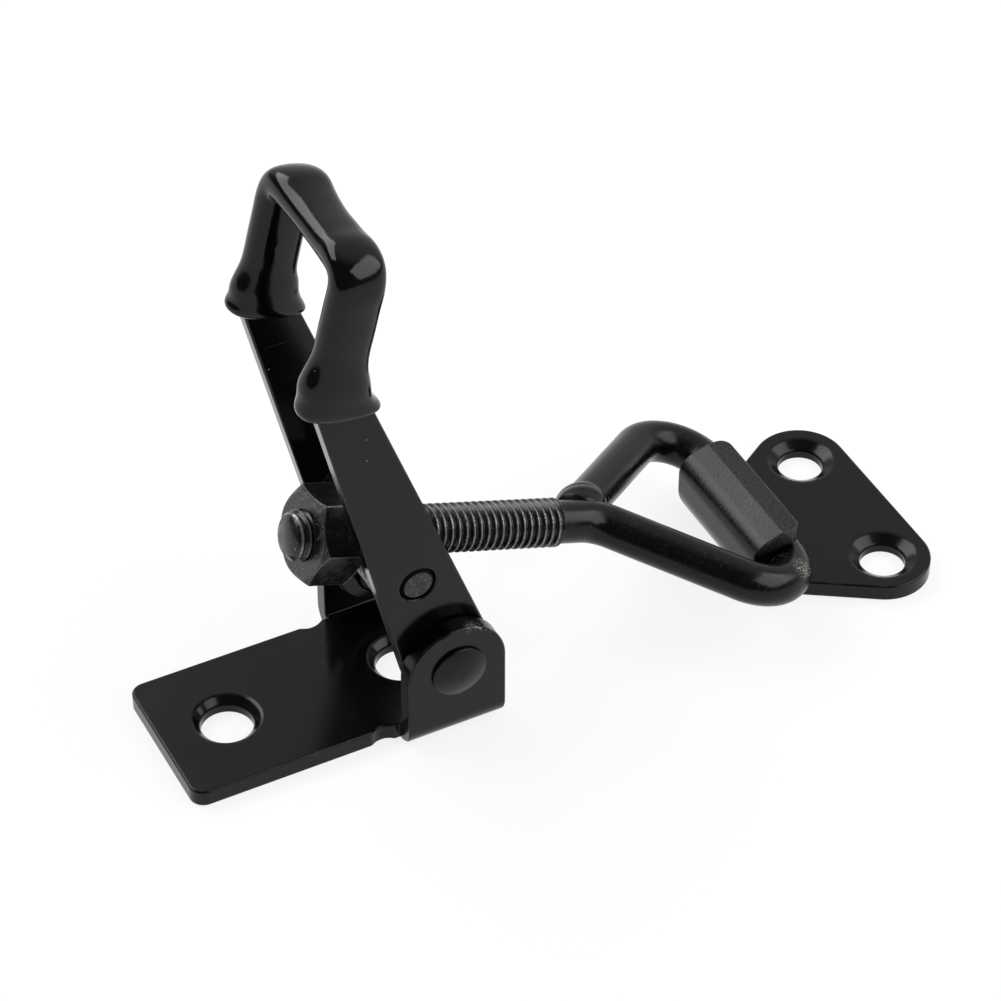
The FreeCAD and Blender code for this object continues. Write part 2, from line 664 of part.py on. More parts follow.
def make_catch_plate():
    """Plate with two screw holes, its end curled up and over to a hook."""
    outline, near, far = keeper_outline()
    plate = prism(outline, Z * sheet)

    # The curl is drawn along its outer face and closed along its inner face.
    wall_x = crossbar.x - wire_r - hook_contact_gap - sheet
    heel_r = hook_heel_inner_r + sheet
    brow_r = hook_brow_inner_r + sheet
    y = keeper_side_shift - keeper_hook_half
    heel_centre = FreeCAD.Vector(wall_x + heel_r, y, heel_r)
    wall_top = crossbar_height + hook_wall_over_bar
    brow_centre = FreeCAD.Vector(wall_x + brow_r, y, wall_top)
    rise = lean_direction(90 - hook_lip_rise)
    rise_out = -side_direction(rise)
    fall = X
    fall_out = Z
    diagonal = lean_direction(-135)
    brow_middle = (rise_out - X).normalize()
    plate_outer = FreeCAD.Vector(heel_centre.x + sheet, y, 0)
    plate_inner = FreeCAD.Vector(heel_centre.x + sheet, y, sheet)
    heel_bottom = FreeCAD.Vector(heel_centre.x, y, 0)
    heel_top = FreeCAD.Vector(heel_centre.x, y, sheet)
    outer_wall_low = heel_centre - X * heel_r
    inner_wall_low = heel_centre - X * hook_heel_inner_r
    outer_wall_high = brow_centre - X * brow_r
    inner_wall_high = brow_centre - X * hook_brow_inner_r
    outer_brow = brow_centre + rise_out * brow_r
    inner_brow = brow_centre + rise_out * hook_brow_inner_r
    outer_crease = outer_brow + rise * hook_lip_first
    outer_tip = outer_crease + fall * hook_lip_last
    inner_tip = outer_tip - fall_out * sheet
    # The crease of the inner face lies where its two straight stretches meet.
    half_turn = math.radians(hook_lip_rise) / 2
    crease_in = -(rise_out + fall_out).normalize() * (sheet / math.cos(half_turn))
    inner_crease = outer_crease + crease_in
    edges = [
        Part.makeLine(plate_outer, heel_bottom),
        Part.Arc(heel_bottom, heel_centre + diagonal * heel_r, outer_wall_low).toShape(),
        Part.makeLine(outer_wall_low, outer_wall_high),
        Part.Arc(outer_wall_high, brow_centre + brow_middle * brow_r, outer_brow).toShape(),
        Part.makeLine(outer_brow, outer_crease),
        Part.makeLine(outer_crease, outer_tip),
        Part.makeLine(outer_tip, inner_tip),
        Part.makeLine(inner_tip, inner_crease),
        Part.makeLine(inner_crease, inner_brow),
        Part.Arc(inner_brow, brow_centre + brow_middle * hook_brow_inner_r,
                 inner_wall_high).toShape(),
        Part.makeLine(inner_wall_high, inner_wall_low),
        Part.Arc(inner_wall_low, heel_centre + diagonal * hook_heel_inner_r,
                 heel_top).toShape(),
        Part.makeLine(heel_top, plate_inner),
        Part.makeLine(plate_inner, plate_outer),
    ]
    curl = prism(Part.Wire(edges), Y * (2 * keeper_hook_half))
    # Rounded corners of the lip, seen from above.
    tip_x = outer_tip.x
    high = outer_crease.z + cut_past
    low = wall_top - sheet / 2
    corner = hook_lip_corner_r
    for side in (-1, 1):
        edge_y = keeper_side_shift + side * keeper_hook_half
        block = Part.makeBox(corner + cut_past, corner + cut_past, high - low)
        if side < 0:
            block.translate(FreeCAD.Vector(tip_x - corner, edge_y - cut_past, low))
        else:
            block.translate(FreeCAD.Vector(tip_x - corner, edge_y - corner, low))
        centre = FreeCAD.Vector(tip_x - corner, edge_y - side * corner, low - cut_past)
        curl = curl.cut(block.cut(Part.makeCylinder(corner, high - low + 2 * cut_past, centre, Z)))
    # The flat part starts where the heel ends.
    reach = hook_to_holes + keeper_lobe_r + heel_r
    span = keeper_hole_spacing + 3 * keeper_lobe_r
    keep = Part.makeBox(reach, span, 2 * sheet,
                        FreeCAD.Vector(heel_centre.x, keeper_side_shift - span / 2, -sheet / 2))
    shape = plate.common(keep).fuse(curl)
    for centre in (near, far):
        shape = shape.cut(countersunk_hole(keeper_hole_r, keeper_sink_r, centre.x, centre.y))
    return break_edges(shape.removeSplitter(), lambda middle: True)


crossbar = on_bolt(crossbar_at)

if __name__ == "__main__":
    os.makedirs("parts", exist_ok=True)
    strip = make_handle()
    pieces = {
        "base_bracket": make_base_bracket(),
        "near_pivot_rivet": make_rivet(-1),
        "far_pivot_rivet": make_rivet(1),
        "handle": break_edges(strip, lambda middle: True),
        "grip_sleeve": make_grip_sleeve().cut(strip),
        "trunnion": make_trunnion(),
        "hook_bolt": make_hook_bolt(),
        "adjusting_nut": make_adjusting_nut(),
        "catch_plate": make_catch_plate(),
    }
    for name, shape in pieces.items():
        save(shape, name)
        box = shape.BoundBox
        print(name, "solids", len(shape.Solids), "valid", shape.isValid(),
              "volume", round(shape.Volume, 1),
              "box", [round(v, 2) for v in (box.XMin, box.YMin, box.ZMin,
                                            box.XMax, box.YMax, box.ZMax)])
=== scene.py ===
"""Looks of an adjustable over-centre toggle latch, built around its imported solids.

The frame is in metres: +X from the base bracket to the catch plate, +Y across the
latch, +Z up, with the origin midway between the screw holes of the base.
"""

import json

import bmesh
import bpy
import numpy as np
from mathutils import Matrix, Vector


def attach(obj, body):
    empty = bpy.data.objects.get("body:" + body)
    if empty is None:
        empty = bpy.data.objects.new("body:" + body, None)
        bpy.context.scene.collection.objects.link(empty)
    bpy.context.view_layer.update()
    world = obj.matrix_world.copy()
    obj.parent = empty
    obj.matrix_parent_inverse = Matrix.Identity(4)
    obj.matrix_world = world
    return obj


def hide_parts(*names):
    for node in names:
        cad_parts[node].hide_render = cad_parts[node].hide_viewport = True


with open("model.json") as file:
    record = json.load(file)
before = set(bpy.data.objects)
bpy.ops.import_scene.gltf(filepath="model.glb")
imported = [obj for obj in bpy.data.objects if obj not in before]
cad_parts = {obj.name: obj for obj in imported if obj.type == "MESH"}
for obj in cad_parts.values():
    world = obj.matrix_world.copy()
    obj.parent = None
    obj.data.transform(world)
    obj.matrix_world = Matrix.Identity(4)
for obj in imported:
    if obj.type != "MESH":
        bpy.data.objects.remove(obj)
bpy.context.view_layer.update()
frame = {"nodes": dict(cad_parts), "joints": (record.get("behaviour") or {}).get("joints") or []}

bl_info = {
    "name": "Toggle latch looks",
    "version": (1, 0, 0),
    "blender": (4, 5, 0),
    "location": "3D View > Sidebar > Latch",
    "description": "Finishes, thread and stage of an over-centre toggle latch",
    "category": "Object",
}

MM = 0.001

# The bolt's own directions, from where its axis crosses the trunnion's: along it to the loop, across the
# latch, and above it. The loop's crossbar lies CROSSBAR_AT metres along.
JOINTS = {j["name"]: j for j in frame["joints"]}
TRUNNION = np.array(JOINTS["nut_turn"]["pos_m"], float)
ALONG = -np.array(JOINTS["nut_turn"]["axis"], float)
ALONG /= np.linalg.norm(ALONG)
ACROSS = np.array([0.0, 1.0, 0.0])
ABOVE = np.cross(ALONG, ACROSS)
CROSSBAR_AT = float(np.linalg.norm(np.array(JOINTS["catch_pivot"]["pos_m"]) - TRUNNION))

# Wear, in millimetres. The handle has chafed the rim of the near ear at these x, y, z with that reach.
EAR_WEAR = ((14.6, -12.4, 16.5, 1.2), (15.9, -12.4, 16.0, 1.2), (17.3, -11.8, 15.2, 1.3))
# The loop rubs in the hook this far before the crossbar's middle line and above it, with that reach.
RUB_BEFORE_BAR, RUB_ABOVE, RUB_REACH = 1.4, 2.35, 1.9
# The upper part of the catch plate's hook is dull, from this height.
HOOK_DULL_ABOVE = 8.6
# A matt black ring of painted shade, for the shadowed gap round the trunnion's pins, lies outside this radius,
# and over this length at each end.
GAP_SHADE_RIM, GAP_SHADE_LENGTH = 1.8, 2.0

# Rounding of the machined steel's edges by shading, and the samples of every rounded normal.
STEEL_EDGE_MM = 0.28
BEVEL_SAMPLES = 6

# Profile of the thread. A wave runs from 0 in the middle of the root to 1 in the middle of the crest. The
# crest is flat from CREST_FROM, the flank spans FLANK below it, and ROOT_EASE makes the root shallower.
CREST_FROM, FLANK, ROOT_EASE = 0.86, 0.74, 0.15
# How fast the bare metal of the crest fades down the flank, and millimetres over which the thread runs out.
CREST_FADE, RUN_OUT = 1.6, 0.7
# The thread's end face bulges this much at its middle, in millimetres.
TAIL_BULGE = 0.12

# The camera's own axes in the frame, and its place in millimetres.
CAMERA_RIGHT = (0.88959, -0.45675, 0.00090)
CAMERA_UP = (0.30359, 0.59275, 0.74598)
CAMERA_BACK = (-0.34126, -0.66335, 0.66597)
CAMERA_PLACE = (-125.223, -291.423, 314.344)

# Softboxes: the point they aim at and their distance in metres, then for each its azimuth and elevation in
# degrees, and its width and height in metres.
LAMP_AIM = np.array([0.02, 0.0, 0.02])
LAMP_DISTANCE = 0.6
FRONT_SOFTBOX = (322, 35, (0.72, 0.42))
BACK_SOFTBOX = (122, 44, (0.60, 0.36))

# The floor's disc in metres, and how much of its own white the eye and the reflections get.
FLOOR_COLS, FLOOR_INNER, FLOOR_OUTER, FLOOR_HEIGHT = 96, 0.001, 6.0, -0.00003
FLOOR_WHITE_SHARE = 0.84
# Where the walls are lit, and the cosines from it at which they are dim and fully lit.
LIT_TOWARDS = (0.52, 0.62, 0.59)
WALL_DIM_AT, WALL_LIT_AT = 0.25, 0.9


# Colour and node helpers


def srgb(code):
    """Linear red, green, blue and alpha of an sRGB hex code such as "1c1c1e"."""
    values = np.array([int(code[i : i + 2], 16) / 255 for i in (0, 2, 4)])
    curved = np.where(values <= 0.04045, values / 12.92, ((values + 0.055) / 1.055) ** 2.4)
    return tuple(float(v) for v in curved) + (1.0,)


def per(size_mm):
    """Texture scale on metres for a pattern that repeats each size_mm millimetres."""
    return 1000.0 / size_mm


def add(tree, kind, inputs=None, **settings):
    """Adds a node: settings are its attributes, and inputs holds a value or a socket for each input. A Mix
    node of colours takes its amount and both colours at inputs 0, 6 and 7, and gives output 2."""
    made = tree.nodes.new(kind)
    for name, value in settings.items():
        setattr(made, name, value)
    for name, value in (inputs or {}).items():
        if isinstance(value, bpy.types.NodeSocket):
            tree.links.new(value, made.inputs[name])
        else:
            made.inputs[name].default_value = value
    return made


def new_material(name):
    """An empty node material, its tree and its object coordinates."""
    material = bpy.data.materials.new(name)
    material.use_nodes = True
    tree = material.node_tree
    tree.nodes.clear()
    where = add(tree, "ShaderNodeTexCoord").outputs["Object"]
    return material, tree, where


def paint(obj, material):
    """Gives obj that one material."""
    obj.data.materials.clear()
    obj.data.materials.append(material)


# Shapes


def unit(v):
    """v at length one."""
    return v / np.linalg.norm(v)


def on_bolt(along, across=0.0, above=0.0):
    """Point in metres at millimetres along, across and above the bolt's axis from the trunnion."""
    return TRUNNION + MM * (along * ALONG + across * ACROSS + above * ABOVE)


def grid_faces(rows, cols, width):
    """Quads between the rows of a grid of points, width points to a row. With width equal to cols each row
    closes round."""
    i, j = np.meshgrid(np.arange(rows - 1), np.arange(cols), indexing="ij")
    k = (j + 1) % width
    quads = np.stack([i * width + j, i * width + k, (i + 1) * width + k, (i + 1) * width + j], axis=-1)
    return quads.reshape(-1, 4).tolist()


def fan_faces(first, second, hub):
    """Triangles from neighbours on a ring, given as two lists of points, to the hub."""
    return np.stack([first, second, np.full(len(first), hub)], axis=-1).tolist()


def placed(name, data):
    """Object of that name and data, in the scene."""
    obj = bpy.data.objects.new(name, data)
    bpy.context.scene.collection.objects.link(obj)
    return obj


def smooth_object(name, mesh):
    """Object of a closed mesh, with its faces turned outward and shaded smooth."""
    outward(mesh)
    mesh.polygons.foreach_set("use_smooth", np.ones(len(mesh.polygons), bool))
    return placed(name, mesh)


def surface_object(name, surface):
    """Object of a surface given as rows of rings. Each ring closes round, and a fan whose hub is the mean
    of the ring closes each end."""
    rows, cols = surface.shape[:2]
    points = np.vstack([surface.reshape(-1, 3), surface[0].mean(0), surface[-1].mean(0)])
    here = np.arange(cols)
    after = (here + 1) % cols
    last = (rows - 1) * cols
    faces = grid_faces(rows, cols, cols)
    faces += fan_faces(after, here, rows * cols)
    faces += fan_faces(last + here, last + after, rows * cols + 1)
    mesh = bpy.data.meshes.new(name)
    mesh.from_pydata(points.tolist(), [], faces)
    mesh.validate()
    return smooth_object(name, mesh)


def outward(mesh):
    """Turns the faces over if the signed volume, the sum of p . n A / 3 over the faces, is negative."""
    count = len(mesh.polygons)
    centres = np.empty(count * 3, np.float32)
    normals = np.empty(count * 3, np.float32)
    areas = np.empty(count, np.float32)
    mesh.polygons.foreach_get("center", centres)
    mesh.polygons.foreach_get("normal", normals)
    mesh.polygons.foreach_get("area", areas)
    centres = centres.reshape(-1, 3) - centres.reshape(-1, 3).mean(0)
    if np.sum(np.sum(centres * normals.reshape(-1, 3), axis=1) * areas) < 0:
        mesh.flip_normals()


def merge(mesh):
    """Joins vertices that share a place and drops faces without area."""
    bm = bmesh.new()
    bm.from_mesh(mesh)
    bmesh.ops.remove_doubles(bm, verts=bm.verts, dist=2e-7)
    bmesh.ops.dissolve_degenerate(bm, dist=1e-8, edges=bm.edges)
    bmesh.ops.recalc_face_normals(bm, faces=bm.faces)
    bm.to_mesh(mesh)
    bm.free()


def straight(start, end, step):
    """Points from start to end, about a step apart."""
    t = np.linspace(0, 1, max(2, int(np.linalg.norm(end - start) / step)))[:, None]
    return start + t * (end - start)


def rounded_path(corners, radii, step):
    """Points along straight runs joined by arcs. At a corner with half angle h the arc of radius r touches
    both runs at r / tan h from the corner, and its middle lies r / sin h from it."""
    runs = []
    previous = corners[0]
    for before, here, after, radius in zip(corners, corners[1:], corners[2:], radii):
        back = unit(before - here)
        ahead = unit(after - here)
        half = 0.5 * np.arccos(back @ ahead)
        reach = radius / np.tan(half)
        middle = here + unit(back + ahead) * radius / np.sin(half)
        enter = here + back * reach
        leave = here + ahead * reach
        first = unit(enter - middle)
        last = unit(leave - middle)
        turn = np.arccos(first @ last)
        runs.append(straight(previous, enter, step)[:-1])
        t = np.linspace(0, 1, max(6, int(turn * radius / step)))[:-1, None]
        arc = np.sin((1 - t) * turn) * first + np.sin(t * turn) * last
        runs.append(middle + radius * arc / np.sin(turn))
        previous = leave
    runs.append(straight(previous, corners[-1], step))
    return np.vstack(runs)


def tube(points, radius, cols=48):
    """Rings round a path in the plane of the loop: point + radius (cos a . side + sin a . above), with side
    square to the path."""
    tangents = np.gradient(points, axis=0)
    tangents /= np.linalg.norm(tangents, axis=1)[:, None]
    sides = np.cross(tangents, ABOVE)
    angles = np.linspace(0, 2 * np.pi, cols, endpoint=False)[None, :, None]
    return points[:, None, :] + radius * (np.cos(angles) * sides[:, None, :] + np.sin(angles) * ABOVE)


# Finishes


def worn_spots(tree, where, spots, flecks):
    """Mask of flecks within reach of worn places. Each spot is its millimetres x, y, z and its reach."""
    mask = 0.0
    for x, y, z, reach_mm in spots:
        gap = add(
            tree, "ShaderNodeVectorMath", {0: where, 1: (x * MM, y * MM, z * MM)}, operation="DISTANCE"
        )
        near = add(
            tree,
            "ShaderNodeMapRange",
            {"Value": gap.outputs["Value"], "From Min": reach_mm * MM, "From Max": 0.35 * reach_mm * MM},
            interpolation_type="SMOOTHSTEP",
        )
        mask = add(tree, "ShaderNodeMath", {0: near.outputs[0], 1: mask}, operation="MAXIMUM").outputs[0]
    return add(tree, "ShaderNodeMath", {0: mask, 1: flecks}, operation="MULTIPLY").outputs[0]


def stoved_enamel(name, look, matte=0.0, spots=(), dull_above_mm=99.0):
    """Black stoved enamel on steel: a thin smooth coat with a clear gloss, faint orange peel and hairline
    scratches, and a few specks of dust. The eye gets near black with soft grey reflections. It is worn to
    bright steel at the spots, thin on the edges, and rubbed dull and grey above a height, which is over the
    whole latch if it isn't given. Matte is added to its roughness."""
    material, tree, where = new_material(name)
    clouds = add(tree, "ShaderNodeTexNoise", {"Vector": where, "Scale": per(11), "Detail": 3.0})
    peel = add(tree, "ShaderNodeTexNoise", {"Vector": where, "Scale": per(0.9), "Detail": 2.0})
    grit = add(tree, "ShaderNodeTexNoise", {"Vector": where, "Scale": per(0.16), "Detail": 2.0})

    # Hairlines are noise drawn out along the direction of handling.
    drawn = add(
        tree,
        "ShaderNodeMapping",
        {"Vector": where, "Rotation": (0.35, 0.2, 0.5), "Scale": (per(9.0), per(0.12), per(0.12))},
    )
    lines = add(tree, "ShaderNodeTexNoise", {"Vector": drawn.outputs[0], "Scale": 1.0, "Detail": 1.0})
    hairlines = add(
        tree,
        "ShaderNodeMapRange",
        {"Value": lines.outputs[0], "From Min": 0.74, "From Max": 0.82},
        interpolation_type="SMOOTHSTEP",
    )

    # Dust lies in one cell out of six, each speck about 0.15 mm across.
    cells = add(tree, "ShaderNodeTexVoronoi", {"Vector": where, "Scale": per(3.2), "Randomness": 1.0})
    speck = add(
        tree,
        "ShaderNodeMapRange",
        {"Value": cells.outputs["Distance"], "From Min": 0.045, "From Max": 0.02},
        interpolation_type="SMOOTHSTEP",
    )
    rare = add(tree, "ShaderNodeSeparateColor", {"Color": cells.outputs["Color"]})
    chosen = add(tree, "ShaderNodeMath", {0: rare.outputs[0], 1: 0.84}, operation="GREATER_THAN")
    dust = add(tree, "ShaderNodeMath", {0: speck.outputs[0], 1: chosen.outputs[0]}, operation="MULTIPLY")

    # The coat is thin on the edges, where the rounded normal turns away from the face's own.
    rounded = add(
        tree, "ShaderNodeBevel", {"Radius": look.edge_round_mm * MM}, samples=BEVEL_SAMPLES
    ).outputs[0]
    flat = add(tree, "ShaderNodeNewGeometry").outputs["Normal"]
    agree = add(tree, "ShaderNodeVectorMath", {0: rounded, 1: flat}, operation="DOT_PRODUCT")
    edge = add(
        tree, "ShaderNodeMapRange", {"Value": agree.outputs["Value"], "From Min": 0.985, "From Max": 0.86}
    )
    rub = add(tree, "ShaderNodeTexNoise", {"Vector": where, "Scale": per(1.4), "Detail": 4.0})
    rubbed = add(
        tree,
        "ShaderNodeMapRange",
        {"Value": rub.outputs[0], "From Min": 0.5, "From Max": 0.66, "To Max": 0.6},
        interpolation_type="SMOOTHSTEP",
    )
    wear = add(tree, "ShaderNodeMath", {0: edge.outputs[0], 1: rubbed.outputs[0]}, operation="MULTIPLY")

    scuffs = add(
        tree, "ShaderNodeTexNoise", {"Vector": where, "Scale": per(0.3), "Detail": 4.0, "Roughness": 0.7}
    )
    scuffed = add(
        tree, "ShaderNodeMapRange", {"Value": scuffs.outputs[0], "From Min": 0.52, "From Max": 0.64}
    )
    bright = worn_spots(tree, where, spots, scuffed.outputs[0])

    # Above the height the coat is dulled in a fine mottle.
    height = add(tree, "ShaderNodeSeparateXYZ", {0: where})
    high = add(
        tree,
        "ShaderNodeMapRange",
        {"Value": height.outputs[2], "From Min": dull_above_mm * MM, "From Max": (dull_above_mm + 1.2) * MM},
    )
    mottle = add(
        tree,
        "ShaderNodeMapRange",
        {"Value": scuffs.outputs[0], "From Min": 0.4, "From Max": 0.6, "To Min": 0.25},
    )
    dull = add(tree, "ShaderNodeMath", {0: high.outputs[0], 1: mottle.outputs[0]}, operation="MULTIPLY")

    colour = tuple(look.coat_colour) + (1,)
    for amount, code in (
        (hairlines.outputs[0], "1d1d1f"),
        (dull.outputs[0], "2f2f30"),
        (wear.outputs[0], "4a4744"),
        (bright, "8d8a85"),
        (dust.outputs[0], "6e6c68"),
    ):
        mixed = add(tree, "ShaderNodeMix", {0: amount, 6: colour, 7: srgb(code)}, data_type="RGBA")
        colour = mixed.outputs[2]

    level = look.coat_roughness + matte
    rough = add(
        tree,
        "ShaderNodeMapRange",
        {
            "Value": clouds.outputs[0],
            "From Min": 0.3,
            "From Max": 0.7,
            "To Min": level - 0.04,
            "To Max": level + 0.05,
        },
    )
    for amount, extra in ((hairlines, 0.12), (wear, 0.25), (dull, 0.14)):
        rough = add(
            tree,
            "ShaderNodeMath",
            {0: amount.outputs[0], 1: extra, 2: rough.outputs[0]},
            operation="MULTIPLY_ADD",
        )

    skin = rounded
    for strength, depth_mm, relief in (
        (0.35, 0.012, peel),
        (0.25, 0.004, grit),
        (high.outputs[0], 0.03, scuffs),
    ):
        bump = add(
            tree,
            "ShaderNodeBump",
            {"Strength": strength, "Distance": depth_mm * MM, "Height": relief.outputs[0], "Normal": skin},
        )
        skin = bump.outputs[0]
    shader = add(
        tree,
        "ShaderNodeBsdfPrincipled",
        {
            "Base Color": colour,
            "Metallic": bright,
            "Roughness": rough.outputs[0],
            "Normal": skin,
            "IOR": look.coat_ior,
        },
    )
    add(tree, "ShaderNodeOutputMaterial", {"Surface": shader.outputs[0]})
    return material


def dipped_vinyl(name, look):
    """Vinyl the grip was dipped in: it sets from a thick liquid, so its skin is glossy, with long soft
    waves and hardly any grain. The eye gets sharp bright panels on black."""
    material, tree, where = new_material(name)
    waves = add(tree, "ShaderNodeTexNoise", {"Vector": where, "Scale": per(4.5), "Detail": 1.0})
    fine = add(tree, "ShaderNodeTexNoise", {"Vector": where, "Scale": per(0.7), "Detail": 2.0})
    smudge = add(tree, "ShaderNodeTexNoise", {"Vector": where, "Scale": per(6), "Detail": 4.0})
    rough = add(
        tree,
        "ShaderNodeMapRange",
        {
            "Value": smudge.outputs[0],
            "From Min": 0.4,
            "From Max": 0.7,
            "To Min": look.vinyl_roughness - 0.02,
            "To Max": look.vinyl_roughness + 0.08,
        },
    )
    cells = add(tree, "ShaderNodeTexVoronoi", {"Vector": where, "Scale": per(3.5)})
    speck = add(
        tree,
        "ShaderNodeMapRange",
        {"Value": cells.outputs["Distance"], "From Min": 0.035, "From Max": 0.015},
    )
    colour = add(
        tree,
        "ShaderNodeMix",
        {0: speck.outputs[0], 6: tuple(look.vinyl_colour) + (1,), 7: srgb("5c5b58")},
        data_type="RGBA",
    )
    skin = add(tree, "ShaderNodeBump", {"Strength": 0.3, "Distance": 0.05 * MM, "Height": waves.outputs[0]})
    skin = add(
        tree,
        "ShaderNodeBump",
        {
            "Strength": 0.25,
            "Distance": 0.005 * MM,
            "Height": fine.outputs[0],
            "Normal": skin.outputs[0],
        },
    )
    shader = add(
        tree,
        "ShaderNodeBsdfPrincipled",
        {
            "Base Color": colour.outputs[2],
            "Roughness": rough.outputs[0],
            "Normal": skin.outputs[0],
            "IOR": look.vinyl_ior,
        },
    )
    add(tree, "ShaderNodeOutputMaterial", {"Surface": shader.outputs[0]})
    return material


def blackened_steel(
    name,
    look,
    grain_mm,
    amount,
    rough,
    spread,
    worn="8a867e",
    pits_mm=0.045,
    crest=None,
    shaded_gap=None,
    smooth_sides=False,
):
    """Steel blackened in a salt bath: a thin oxide, rougher than paint, that wears off high places to a
    brownish bright metal. The eye gets a gritty dark grey with small light flecks: amount is how bare the
    flecks are, and the roughness varies by the spread. High places are the edges, or where the crest
    attribute is near 1. A matt black ring round the rim of the trunnion's pins is painted shade, standing
    for the shadowed gap between pin and hole; its argument holds the radius from the trunnion's axis and
    the distance from its middle at which it starts, in millimetres. With smooth_sides, faces that run along
    the bolt are smooth and only those that cross it are pitted, as on a nut cut from bright bar."""
    material, tree, where = new_material(name)
    grain = add(
        tree, "ShaderNodeTexNoise", {"Vector": where, "Scale": per(grain_mm), "Detail": 4.0, "Roughness": 0.65}
    )
    patches = add(tree, "ShaderNodeTexNoise", {"Vector": where, "Scale": per(3.5 * grain_mm), "Detail": 3.0})
    flecks = add(
        tree,
        "ShaderNodeMapRange",
        {"Value": grain.outputs[0], "From Min": 0.52, "From Max": 0.7},
        interpolation_type="SMOOTHSTEP",
    )
    field = add(
        tree,
        "ShaderNodeMapRange",
        {"Value": patches.outputs[0], "From Min": 0.38, "From Max": 0.62},
        interpolation_type="SMOOTHSTEP",
    )
    bare = add(tree, "ShaderNodeMath", {0: flecks.outputs[0], 1: field.outputs[0]}, operation="MULTIPLY")
    bare = add(tree, "ShaderNodeMath", {0: bare.outputs[0], 1: amount}, operation="MULTIPLY")
    pitted = 0.8
    if smooth_sides:
        facing = add(
            tree,
            "ShaderNodeVectorTransform",
            {0: add(tree, "ShaderNodeNewGeometry").outputs["Normal"]},
            vector_type="NORMAL",
            convert_from="WORLD",
            convert_to="OBJECT",
        )
        facing = add(
            tree,
            "ShaderNodeVectorMath",
            {0: facing.outputs[0], 1: tuple(float(v) for v in ALONG)},
            operation="DOT_PRODUCT",
        )
        facing = add(tree, "ShaderNodeMath", {0: facing.outputs["Value"]}, operation="ABSOLUTE")
        ends = add(
            tree,
            "ShaderNodeMapRange",
            {"Value": facing.outputs[0], "From Min": 0.2, "From Max": 0.4, "To Min": 0.12},
        )
        bare = add(tree, "ShaderNodeMath", {0: bare.outputs[0], 1: ends.outputs[0]}, operation="MULTIPLY")
        pitted = ends.outputs[0]

    rounded = add(tree, "ShaderNodeBevel", {"Radius": STEEL_EDGE_MM * MM}, samples=BEVEL_SAMPLES).outputs[0]
    if crest:
        high = add(tree, "ShaderNodeAttribute", attribute_name=crest).outputs["Fac"]
        edge = add(tree, "ShaderNodeMapRange", {"Value": high, "From Min": 0.7, "From Max": 1.0})
    else:
        flat = add(tree, "ShaderNodeNewGeometry").outputs["Normal"]
        agree = add(tree, "ShaderNodeVectorMath", {0: rounded, 1: flat}, operation="DOT_PRODUCT")
        edge = add(
            tree, "ShaderNodeMapRange", {"Value": agree.outputs["Value"], "From Min": 0.99, "From Max": 0.9}
        )
    rub = add(
        tree,
        "ShaderNodeMapRange",
        {"Value": grain.outputs[0], "From Min": 0.3, "From Max": 0.6, "To Max": 0.9},
    )
    edge = add(tree, "ShaderNodeMath", {0: edge.outputs[0], 1: rub.outputs[0]}, operation="MULTIPLY")
    bare = add(tree, "ShaderNodeMath", {0: bare.outputs[0], 1: edge.outputs[0]}, operation="MAXIMUM")
    colour = add(
        tree,
        "ShaderNodeMix",
        {0: bare.outputs[0], 6: tuple(look.oxide_colour) + (1,), 7: srgb(worn)},
        data_type="RGBA",
    )
    metal = add(
        tree,
        "ShaderNodeMapRange",
        {"Value": bare.outputs[0], "From Min": 0.35, "From Max": 0.8, "To Max": 0.85},
    )
    gloss = add(
        tree,
        "ShaderNodeMapRange",
        {
            "Value": patches.outputs[0],
            "From Min": 0.35,
            "From Max": 0.65,
            "To Min": rough - spread,
            "To Max": rough + spread,
        },
    )
    skin = add(
        tree,
        "ShaderNodeBump",
        {"Strength": pitted, "Distance": pits_mm * MM, "Height": grain.outputs[0], "Normal": rounded},
    )
    shader = add(
        tree,
        "ShaderNodeBsdfPrincipled",
        {
            "Base Color": colour.outputs[2],
            "Metallic": metal.outputs[0],
            "Roughness": gloss.outputs[0],
            "Normal": skin.outputs[0],
            "IOR": look.oxide_ior,
        },
    )
    surface = shader.outputs[0]
    # Painted shade: a matt black ring at the rim of the pins stands for the shadowed gap between pin and hole.
    if shaded_gap:
        rim_mm, from_mm = shaded_gap
        centre = tuple(float(v) for v in TRUNNION)
        offset = add(tree, "ShaderNodeVectorMath", {0: where, 1: centre}, operation="SUBTRACT")
        radial = add(
            tree, "ShaderNodeVectorMath", {0: offset.outputs[0], 1: (1, 0, 1)}, operation="MULTIPLY"
        )
        reach = add(tree, "ShaderNodeVectorMath", {0: radial.outputs[0]}, operation="LENGTH")
        inner = add(
            tree,
            "ShaderNodeMapRange",
            {"Value": reach.outputs["Value"], "From Min": rim_mm * MM, "From Max": (rim_mm - 0.12) * MM},
        )
        parts = add(tree, "ShaderNodeSeparateXYZ", {0: offset.outputs[0]})
        across = add(tree, "ShaderNodeMath", {0: parts.outputs[1]}, operation="ABSOLUTE")
        barrel = add(
            tree,
            "ShaderNodeMapRange",
            {"Value": across.outputs[0], "From Min": (from_mm + 0.05) * MM, "From Max": from_mm * MM},
        )
        off_gap = add(tree, "ShaderNodeMath", {0: inner.outputs[0], 1: barrel.outputs[0]}, operation="MAXIMUM")
        gap_shade_bsdf = add(
            tree,
            "ShaderNodeBsdfPrincipled",
            {"Base Color": srgb("030303"), "Roughness": 0.8, "Specular IOR Level": 0.1},
        )
        mixed = add(tree, "ShaderNodeMixShader", {0: off_gap.outputs[0], 1: gap_shade_bsdf.outputs[0], 2: surface})
        surface = mixed.outputs[0]
    add(tree, "ShaderNodeOutputMaterial", {"Surface": surface})
    return material


